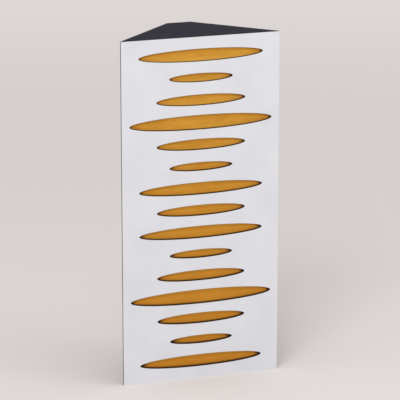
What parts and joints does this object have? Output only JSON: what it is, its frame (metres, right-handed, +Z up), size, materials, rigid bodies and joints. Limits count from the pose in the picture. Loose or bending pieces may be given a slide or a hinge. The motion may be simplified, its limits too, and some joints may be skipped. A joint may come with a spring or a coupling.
{
  "type": "corner bass trap",
  "caption": "Wedge-shaped bass trap for a room corner: white slotted board over amber felt, charcoal cloth body, mineral wool in a timber frame, hanging clips on the flanks.",
  "frame": {"origin": "under the middle of the bounding box, on the plane that the trap stands on", "axes": "+Z up along the trap's height, +Y back into the room's corner, so the slotted board faces -Y, and +X to the right of someone who faces the board"},
  "size_m": [0.464, 0.203, 1],
  "materials": {
    "board": "white satin lacquer on fibreboard, charred laser-cut edges",
    "felt": "amber felt",
    "cloth": "charcoal woven cloth",
    "lining": "black non-woven lining",
    "plywood": "bare birch plywood",
    "softwood": "planed pine",
    "wool": "mineral wool",
    "steel": "bright zinc plate",
    "aluminium": "mill-finish sheet",
    "rubber": "black rubber"
  },
  "bodies": {
    "root": {"front_board": "board", "felt_facing": "felt", "side_wrap": "cloth", "top_cover": "cloth", "bottom_cover": "lining", "top_plate": "plywood", "bottom_plate": "plywood", "former_1": "plywood", "former_2": "plywood", "left_stile": "softwood", "right_stile": "softwood", "rear_spine": "softwood", "left_hanger_block": "softwood", "right_hanger_block": "softwood", "left_pad_block": "softwood", "right_pad_block": "softwood", "wool_wedge_1": "wool", "wool_wedge_2": "wool", "wool_wedge_3": "wool", "wool_wedge_4": "wool", "wool_wedge_5": "wool", "wool_wedge_6": "wool", "wool_wedge_7": "wool", "wool_wedge_8": "wool", "wool_wedge_9": "wool", "left_hanging_clip": "aluminium", "right_hanging_clip": "aluminium", "left_wall_pad": "rubber", "right_wall_pad": "rubber", "board_screw_left_1": "steel", "board_screw_left_2": "steel", "board_screw_left_3": "steel", "board_screw_left_4": "steel", "board_screw_right_1": "steel", "board_screw_right_2": "steel", "board_screw_right_3": "steel", "board_screw_right_4": "steel", "plate_screw_top_left": "steel", "plate_screw_top_right": "steel", "plate_screw_top_rear": "steel", "plate_screw_bottom_left": "steel", "plate_screw_bottom_right": "steel", "plate_screw_bottom_rear": "steel", "former_screw_1_left": "steel", "former_screw_1_right": "steel", "former_screw_1_rear": "steel", "former_screw_2_left": "steel", "former_screw_2_right": "steel", "former_screw_2_rear": "steel", "block_screw_top_left": "steel", "block_screw_top_right": "steel", "block_screw_bottom_left": "steel", "block_screw_bottom_right": "steel", "clip_screw_left_1": "steel", "clip_screw_left_2": "steel", "clip_screw_right_1": "steel", "clip_screw_right_2": "steel"}
  },
  "joints": []
}
